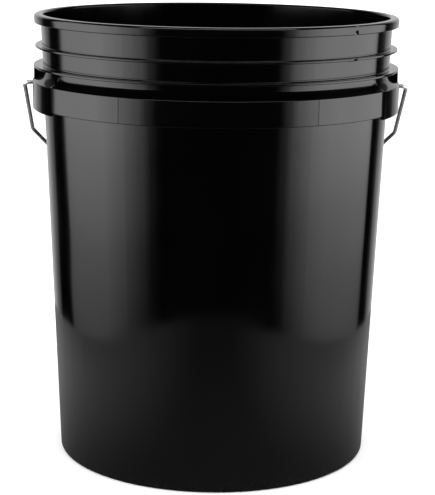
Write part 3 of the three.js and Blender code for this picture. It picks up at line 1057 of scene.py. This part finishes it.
def add_softbox(name, side, front, rear, material):
    """A glowing rectangle beside the pail, facing it."""
    x = side * SOFTBOX_X
    ring = [(x, front, SOFTBOX_LOW), (x, rear, SOFTBOX_LOW),
            (x, rear, SOFTBOX_HIGH), (x, front, SOFTBOX_HIGH)]
    if side > 0:
        ring.reverse()
    mesh = bpy.data.meshes.new(name)
    mesh.from_pydata(ring, [], [(0, 1, 2, 3)])
    panel = bpy.data.objects.new(name, mesh)
    bpy.context.scene.collection.objects.link(panel)
    mesh.materials.append(material)
    panel.visible_camera = False
    panel.visible_diffuse = False
    panel.visible_shadow = False


def add_floor(name, radius_x, radius_y, material):
    """A flat round sheet just under the pail."""
    angles = [2 * math.pi * k / FLOOR_SIDES for k in range(FLOOR_SIDES)]
    ring = [(radius_x * math.cos(a), radius_y * math.sin(a), -FLOOR_DROP) for a in angles]
    mesh = bpy.data.meshes.new(name)
    mesh.from_pydata(ring, [], [tuple(range(FLOOR_SIDES))])
    sheet = bpy.data.objects.new(name, mesh)
    bpy.context.scene.collection.objects.link(sheet)
    mesh.materials.append(material)
    return sheet


def set_world():
    """White all round, but in the gloss white only behind the pail and dark elsewhere."""
    world = bpy.data.worlds.new("studio_world")
    world.use_nodes = True
    world.node_tree.nodes.clear()
    n = Nodes(world.node_tree)
    direction = n.add("ShaderNodeTexCoord").outputs["Generated"]
    split = n.add("ShaderNodeSeparateXYZ", {0: direction})
    behind = n.math("MULTIPLY", n.fade(split.outputs["Y"], BEHIND_START, BEHIND_FULL),
                    BEHIND_STRENGTH)
    dark = n.add("ShaderNodeBackground", {"Color": (1, 1, 1, 1), "Strength": behind})
    white = n.add("ShaderNodeBackground", {
        "Color": (1, 1, 1, 1), "Strength": SURROUND_STRENGTH})
    glossy = n.add("ShaderNodeLightPath").outputs["Is Glossy Ray"]
    mixed = n.add("ShaderNodeMixShader", {0: glossy, 1: white.outputs[0], 2: dark.outputs[0]})
    n.add("ShaderNodeOutputWorld", {"Surface": mixed.outputs[0]})
    bpy.context.scene.world = world


def add_camera(studio):
    """The camera, placed and turned by the studio's settings."""
    lens = bpy.data.cameras.new("studio_camera")
    lens.sensor_width = 36
    lens.lens = studio.lens
    lens.shift_y = studio.lens_shift
    lens.clip_start = 0.05
    lens.clip_end = 50
    camera = bpy.data.objects.new("studio_camera", lens)
    bpy.context.scene.collection.objects.link(camera)
    turn = Matrix.Rotation(-studio.camera_turn, 4, "Z")
    place = turn @ Matrix.Translation((0, -studio.camera_distance, studio.camera_height))
    pan = Matrix.Rotation(-studio.camera_pan, 4, "Z")
    tilt = Matrix.Rotation(math.pi / 2 - studio.camera_tilt, 4, "X")
    roll = Matrix.Rotation(studio.camera_roll, 4, "Z")
    camera.matrix_world = place @ pan @ tilt @ roll
    bpy.context.scene.camera = camera


def add_top_light(studio):
    """A long soft strip above and in front of the pail."""
    data = bpy.data.lights.new("top_strip", "AREA")
    data.shape = "RECTANGLE"
    data.size, data.size_y = STRIP_LENGTH, STRIP_WIDTH
    data.energy = studio.top_power
    lamp = bpy.data.objects.new("top_strip", data)
    bpy.context.scene.collection.objects.link(lamp)
    lamp.location = STRIP_PLACE
    aim = STRIP_AIM - STRIP_PLACE
    lamp.rotation_euler = aim.to_track_quat("-Z", "Y").to_euler()
    lamp.visible_camera = False


class PAIL_OT_set_stage(bpy.types.Operator):
    """Sets the camera, the pale floor and the soft studio lights"""

    bl_idname = "pail.set_stage"
    bl_label = "Studio"

    def execute(self, context):
        studio = context.scene.pail_studio
        bright = studio.softbox_radiance
        left = softbox_cloth("left_cloth", bright, LEFT_FRONT, LEFT_BRIGHT, LEFT_REAR)
        right = softbox_cloth("right_cloth", bright, RIGHT_FRONT, RIGHT_BRIGHT, RIGHT_REAR)
        add_softbox("left_softbox", -1, LEFT_FRONT, LEFT_REAR, left)
        add_softbox("right_softbox", 1, RIGHT_FRONT, RIGHT_REAR, right)
        floor = add_floor("pale_floor", FLOOR_RADIUS, FLOOR_RADIUS, pale_floor())
        # The gloss sees, in place of the pale floor, a sheet with the table's light and shade
        # painted into its colour.
        floor.visible_glossy = False
        sheen = add_floor("painted_table_reflection", SHEEN_RADIUS_X, SHEEN_RADIUS_Y, painted_table_reflection())
        sheen.location.z = SHEEN_LIFT
        sheen.visible_camera = False
        sheen.visible_diffuse = False
        sheen.visible_shadow = False
        add_top_light(studio)
        add_camera(studio)
        set_world()
        context.scene.view_settings.view_transform = "Standard"
        return {"FINISHED"}


# ------------------------------------------------------------------ panel and running

class PAIL_PT_panel(bpy.types.Panel):
    """Sizes, finishes and the steps that build the pail"""

    bl_idname = "PAIL_PT_panel"
    bl_label = "Utility Pail"
    bl_space_type = "VIEW_3D"
    bl_region_type = "UI"
    bl_category = "Pail"

    def draw(self, context):
        scene = context.scene
        for title, group in (("Pail", scene.pail_sizes), ("Bail", scene.bail_sizes),
                             ("Finishes", scene.pail_finishes),
                             ("Studio", scene.pail_studio)):
            box = self.layout.box()
            box.label(text=title)
            for name in group.bl_rna.properties.keys():
                if name not in ("rna_type", "name"):
                    box.prop(group, name)
        for step in STEPS:
            self.layout.operator(step.bl_idname)


GROUPS = (PailSizes, BailSizes, PailFinishes, StudioSettings)
STEPS = (PAIL_OT_mould_body, PAIL_OT_bend_wire, PAIL_OT_turn_grip, PAIL_OT_set_stage)
CLASSES = GROUPS + STEPS + (PAIL_PT_panel,)


def register():
    for cls in CLASSES:
        bpy.utils.register_class(cls)
    bpy.types.Scene.pail_sizes = bpy.props.PointerProperty(type=PailSizes)
    bpy.types.Scene.bail_sizes = bpy.props.PointerProperty(type=BailSizes)
    bpy.types.Scene.pail_finishes = bpy.props.PointerProperty(type=PailFinishes)
    bpy.types.Scene.pail_studio = bpy.props.PointerProperty(type=StudioSettings)


def unregister():
    del bpy.types.Scene.pail_studio
    del bpy.types.Scene.pail_finishes
    del bpy.types.Scene.bail_sizes
    del bpy.types.Scene.pail_sizes
    for cls in reversed(CLASSES):
        bpy.utils.unregister_class(cls)


def main():
    register()
    bpy.ops.pail.mould_body()
    bpy.ops.pail.bend_wire()
    bpy.ops.pail.turn_grip()
    bpy.ops.pail.set_stage()


if __name__ == "__main__":
    main()
